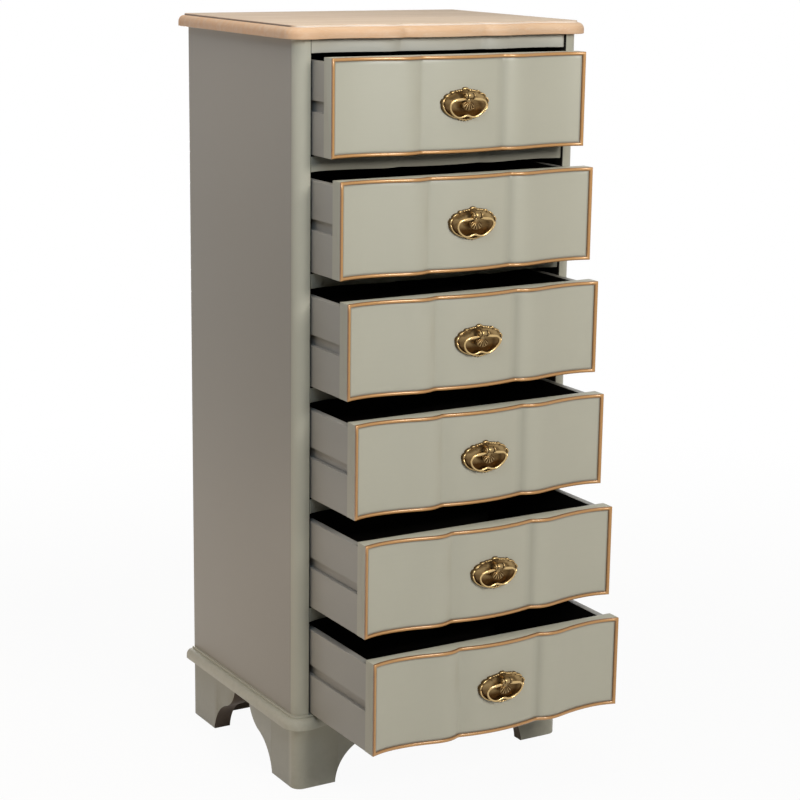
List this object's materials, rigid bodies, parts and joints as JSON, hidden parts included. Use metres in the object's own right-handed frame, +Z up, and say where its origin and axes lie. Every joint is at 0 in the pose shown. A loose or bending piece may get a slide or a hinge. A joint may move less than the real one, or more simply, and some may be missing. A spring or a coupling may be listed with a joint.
{
  "type": "tall narrow chest of drawers",
  "caption": "Tall narrow chest of drawers with a serpentine front, moulded top and base, bracket feet, gilt cock beads and oval drop-bail handles.",
  "frame": {"origin": "on the floor, under the middle of the carcase's plan", "axes": "+Z up, the front with its drawers faces -Y, +X to the right seen from the front"},
  "size_m": [0.53, 0.6019, 1.191],
  "materials": {
    "painted_wood": "satin grey-green paint",
    "limed_wood": "limed, matt",
    "gilt": "gilded, rubbed",
    "antique_brass": "antiqued",
    "drawer_lining": "matt black stain",
    "back_board": "matt paint",
    "runner_wood": "bare hardwood",
    "steel": "zinc plated"
  },
  "bodies": {
    "carcase": {"top_board": "limed_wood", "left_side_panel": "painted_wood", "right_side_panel": "painted_wood", "front_stiles": "painted_wood", "back_panel": "back_board", "top_rail": "painted_wood", "divider_rails": "painted_wood", "drawer_runners": "runner_wood", "runner_screws": "steel", "base_board": "painted_wood", "front_feet": "painted_wood", "rear_feet": "painted_wood"},
    "drawer_1": {"drawer_1_front": "painted_wood", "drawer_1_gilt_bead": "gilt", "drawer_1_sides": "painted_wood", "drawer_1_back": "drawer_lining", "drawer_1_bottom": "drawer_lining", "drawer_1_handle_plate": "antique_brass", "drawer_1_handle_bolt": "steel"},
    "drawer_1_bail": {"drawer_1_handle_bail": "antique_brass"},
    "drawer_2": {"drawer_2_front": "painted_wood", "drawer_2_gilt_bead": "gilt", "drawer_2_sides": "painted_wood", "drawer_2_back": "drawer_lining", "drawer_2_bottom": "drawer_lining", "drawer_2_handle_plate": "antique_brass", "drawer_2_handle_bolt": "steel"},
    "drawer_2_bail": {"drawer_2_handle_bail": "antique_brass"},
    "drawer_3": {"drawer_3_front": "painted_wood", "drawer_3_gilt_bead": "gilt", "drawer_3_sides": "painted_wood", "drawer_3_back": "drawer_lining", "drawer_3_bottom": "drawer_lining", "drawer_3_handle_plate": "antique_brass", "drawer_3_handle_bolt": "steel"},
    "drawer_3_bail": {"drawer_3_handle_bail": "antique_brass"},
    "drawer_4": {"drawer_4_front": "painted_wood", "drawer_4_gilt_bead": "gilt", "drawer_4_sides": "painted_wood", "drawer_4_back": "drawer_lining", "drawer_4_bottom": "drawer_lining", "drawer_4_handle_plate": "antique_brass", "drawer_4_handle_bolt": "steel"},
    "drawer_4_bail": {"drawer_4_handle_bail": "antique_brass"},
    "drawer_5": {"drawer_5_front": "painted_wood", "drawer_5_gilt_bead": "gilt", "drawer_5_sides": "painted_wood", "drawer_5_back": "drawer_lining", "drawer_5_bottom": "drawer_lining", "drawer_5_handle_plate": "antique_brass", "drawer_5_handle_bolt": "steel"},
    "drawer_5_bail": {"drawer_5_handle_bail": "antique_brass"},
    "drawer_6": {"drawer_6_front": "painted_wood", "drawer_6_gilt_bead": "gilt", "drawer_6_sides": "painted_wood", "drawer_6_back": "drawer_lining", "drawer_6_bottom": "drawer_lining", "drawer_6_handle_plate": "antique_brass", "drawer_6_handle_bolt": "steel"},
    "drawer_6_bail": {"drawer_6_handle_bail": "antique_brass"}
  },
  "joints": [
    {"name": "drawer_1_slide", "type": "slide", "parent": "carcase", "child": "drawer_1", "axis": [0, -1, 0], "range_m": [-0.059, 0.191]},
    {"name": "drawer_1_bail_swing", "type": "hinge", "parent": "drawer_1", "child": "drawer_1_bail", "pos_m": [0, -0.2643, 1.0881], "axis": [-1, 0, 0], "range_deg": [-0.5, 90]},
    {"name": "drawer_2_slide", "type": "slide", "parent": "carcase", "child": "drawer_2", "axis": [0, -1, 0], "range_m": [-0.087, 0.163]},
    {"name": "drawer_2_bail_swing", "type": "hinge", "parent": "drawer_2", "child": "drawer_2_bail", "pos_m": [0, -0.2923, 0.9129], "axis": [-1, 0, 0], "range_deg": [-0.5, 90]},
    {"name": "drawer_3_slide", "type": "slide", "parent": "carcase", "child": "drawer_3", "axis": [0, -1, 0], "range_m": [-0.1115, 0.1385]},
    {"name": "drawer_3_bail_swing", "type": "hinge", "parent": "drawer_3", "child": "drawer_3_bail", "pos_m": [0, -0.3168, 0.7377], "axis": [-1, 0, 0], "range_deg": [-0.5, 90]},
    {"name": "drawer_4_slide", "type": "slide", "parent": "carcase", "child": "drawer_4", "axis": [0, -1, 0], "range_m": [-0.137, 0.113]},
    {"name": "drawer_4_bail_swing", "type": "hinge", "parent": "drawer_4", "child": "drawer_4_bail", "pos_m": [0, -0.3423, 0.5625], "axis": [-1, 0, 0], "range_deg": [-0.5, 90]},
    {"name": "drawer_5_slide", "type": "slide", "parent": "carcase", "child": "drawer_5", "axis": [0, -1, 0], "range_m": [-0.17, 0.08]},
    {"name": "drawer_5_bail_swing", "type": "hinge", "parent": "drawer_5", "child": "drawer_5_bail", "pos_m": [0, -0.3753, 0.3873], "axis": [-1, 0, 0], "range_deg": [-0.5, 90]},
    {"name": "drawer_6_slide", "type": "slide", "parent": "carcase", "child": "drawer_6", "axis": [0, -1, 0], "range_m": [-0.198, 0.052]},
    {"name": "drawer_6_bail_swing", "type": "hinge", "parent": "drawer_6", "child": "drawer_6_bail", "pos_m": [0, -0.4033, 0.2121], "axis": [-1, 0, 0], "range_deg": [-0.5, 90]}
  ]
}
